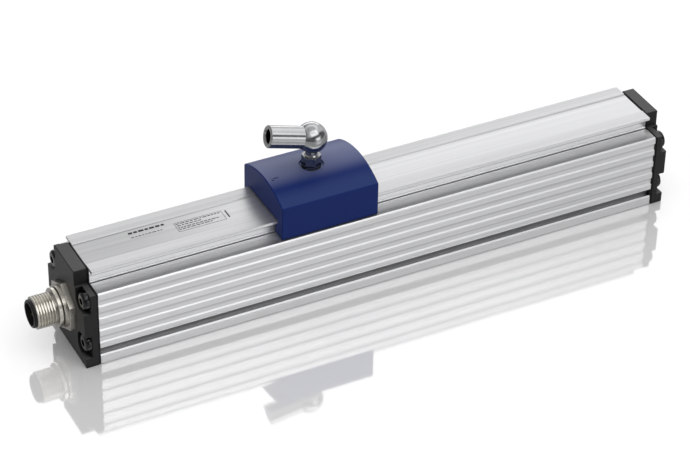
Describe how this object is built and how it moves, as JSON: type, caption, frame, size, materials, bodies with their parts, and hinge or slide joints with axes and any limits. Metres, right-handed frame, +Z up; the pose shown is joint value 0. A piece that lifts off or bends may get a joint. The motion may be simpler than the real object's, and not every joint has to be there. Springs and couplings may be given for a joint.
{
  "type": "linear potentiometer",
  "caption": "Linear position potentiometer: closed aluminium profile with a guide rail, a magnet slider with ball joint, end caps and an M12 connector.",
  "frame": {"origin": "middle of the profile's base face, which is the face that it is mounted on", "axes": "+X along the profile, from the connector end to the blind end; +Z up, out of the guide rail; +Y to the left of +X"},
  "size_m": [0.2498, 0.034, 0.0672],
  "materials": {
    "anodised_aluminium": "satin anodised, fine extrusion lines",
    "cap_black": "black, fine grain",
    "gasket_black": "matte black",
    "black_steel": "black oxide",
    "nickel": "nickel plated, satin",
    "connector_black": "black",
    "gold": "gold plated",
    "slider_blue": "blue, fine grain",
    "glide_white": "off-white, smooth",
    "magnet_grey": "nickel plated magnet",
    "brass_plain": "turned",
    "bright_steel": "bright zinc plated, turned",
    "spring_steel": "bright wire",
    "board_green": "solder resist",
    "board_brown": "laminate",
    "track_carbon": "conductive plastic",
    "track_silver": "printed silver",
    "wire_skin": "wire insulation",
    "carriage_pom": "natural acetal",
    "holder_pom": "black acetal",
    "ground_steel": "ground",
    "bronze": "sintered bronze",
    "contact_alloy": "precious metal alloy"
  },
  "bodies": {
    "housing": {"profile_housing": "anodised_aluminium", "connector_end_cap": "cap_black", "blind_end_cap": "cap_black", "connector_end_gasket": "gasket_black", "blind_end_gasket": "gasket_black", "connector_end_screws": "black_steel", "blind_end_screws": "black_steel", "connector_shell": "nickel", "connector_seal": "gasket_black", "connector_lock_nut": "nickel", "connector_insert": "connector_black", "connector_pins": "gold", "terminal_board": "board_green", "lead_wires": "wire_skin", "element_board": "board_brown", "resistive_track": "track_carbon", "collector_track": "track_silver", "connector_end_rod_holder": "holder_pom", "blind_end_rod_holder": "holder_pom", "guide_rods": "ground_steel"},
    "slider": {"slider_body": "slider_blue", "slider_glides": "glide_white", "slider_magnets": "magnet_grey", "stud_insert": "brass_plain", "ball_stud": "bright_steel"},
    "wiper": {"wiper_carriage": "carriage_pom", "carriage_bushes": "bronze", "carriage_magnets": "magnet_grey", "wiper_springs": "contact_alloy"},
    "ball_ring": {"ball_retaining_ring": "spring_steel"},
    "rod_end": {"ball_socket": "bright_steel"}
  },
  "joints": [
    {"name": "slider_slide", "type": "slide", "parent": "housing", "child": "slider", "axis": [1, 0, 0], "range_m": [-0.0549, 0.1011]},
    {"name": "wiper_slide", "type": "slide", "parent": "housing", "child": "wiper", "axis": [1, 0, 0], "range_m": [-0.0549, 0.1011]},
    {"name": "socket_tilt", "type": "hinge", "parent": "slider", "child": "ball_ring", "pos_m": [-0.0231, 0, 0.05935], "axis": [0.108, 0.9942, 0], "range_deg": [-28.4, 1.6]},
    {"name": "socket_swivel", "type": "hinge", "parent": "ball_ring", "child": "rod_end", "pos_m": [-0.0231, 0, 0.05935], "axis": [0.2304, -0.025, 0.9728], "continuous": true}
  ],
  "couplings": [
    {"joint": "wiper_slide", "follows": "slider_slide", "ratio": 1}
  ]
}
